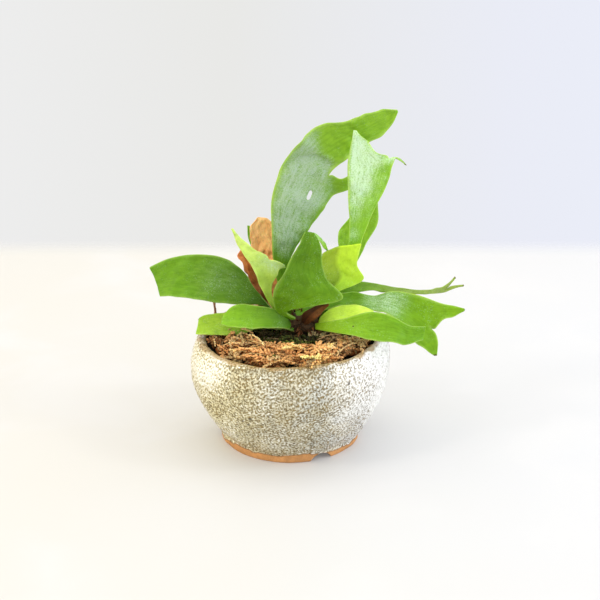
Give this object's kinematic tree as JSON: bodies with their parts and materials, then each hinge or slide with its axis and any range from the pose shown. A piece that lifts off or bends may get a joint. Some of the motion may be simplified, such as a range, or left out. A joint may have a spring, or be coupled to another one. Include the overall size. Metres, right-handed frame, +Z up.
{
  "type": "potted fern",
  "caption": "Young staghorn fern with forked antler fronds and papery brown shield fronds, growing in loose moss in a squat round stoneware bowl with a notched foot.",
  "frame": {"origin": "centre of the whole plant's box in X and Y, on the ground plane under the foot ring; the bowl's own axis is 8 mm to the -X side of it", "axes": "+Z up, +X to the viewer's right, -Y towards the viewer who faces the front"},
  "size_m": [0.1454, 0.0904, 0.1506],
  "materials": {
    "glazed_stoneware": "cream-white crawling glaze with tan and olive worm marks, and a bare orange-tan clay foot",
    "root_moss": "dark matted moss and roots",
    "sphagnum": "dry orange-brown and straw-coloured moss strands",
    "dry_stalk": "dark dry stalk, matt",
    "frond_green": "mid-green leathery frond with a patchy silvery felt of fine hairs",
    "frond_young": "bright yellow-green young frond, satin",
    "shield_brown": "dry papery brown shield with fine veins"
  },
  "bodies": {
    "root": {"pot": "glazed_stoneware", "root_ball": "root_moss", "moss_tuft_1": "sphagnum", "moss_tuft_2": "sphagnum", "moss_tuft_3": "sphagnum", "moss_tuft_4": "sphagnum", "moss_tuft_5": "sphagnum", "moss_tuft_6": "sphagnum", "moss_tuft_7": "sphagnum", "moss_tuft_8": "sphagnum", "moss_tuft_9": "sphagnum", "rhizome": "dry_stalk", "dry_stipe": "dry_stalk", "tall_frond": "frond_green", "upright_frond": "frond_green", "sheltered_frond": "frond_green", "young_fold_frond": "frond_young", "centre_frond": "frond_green", "arching_frond": "frond_green", "pale_fork_frond": "frond_young", "left_frond": "frond_green", "front_left_frond": "frond_young", "low_left_frond": "frond_young", "front_right_frond": "frond_green", "yellow_frond": "frond_young", "right_frond": "frond_green", "antler_frond": "frond_green", "back_left_frond": "frond_green", "tall_shield": "shield_brown", "left_shield": "shield_brown", "bud_shield": "shield_brown"}
  },
  "joints": []
}
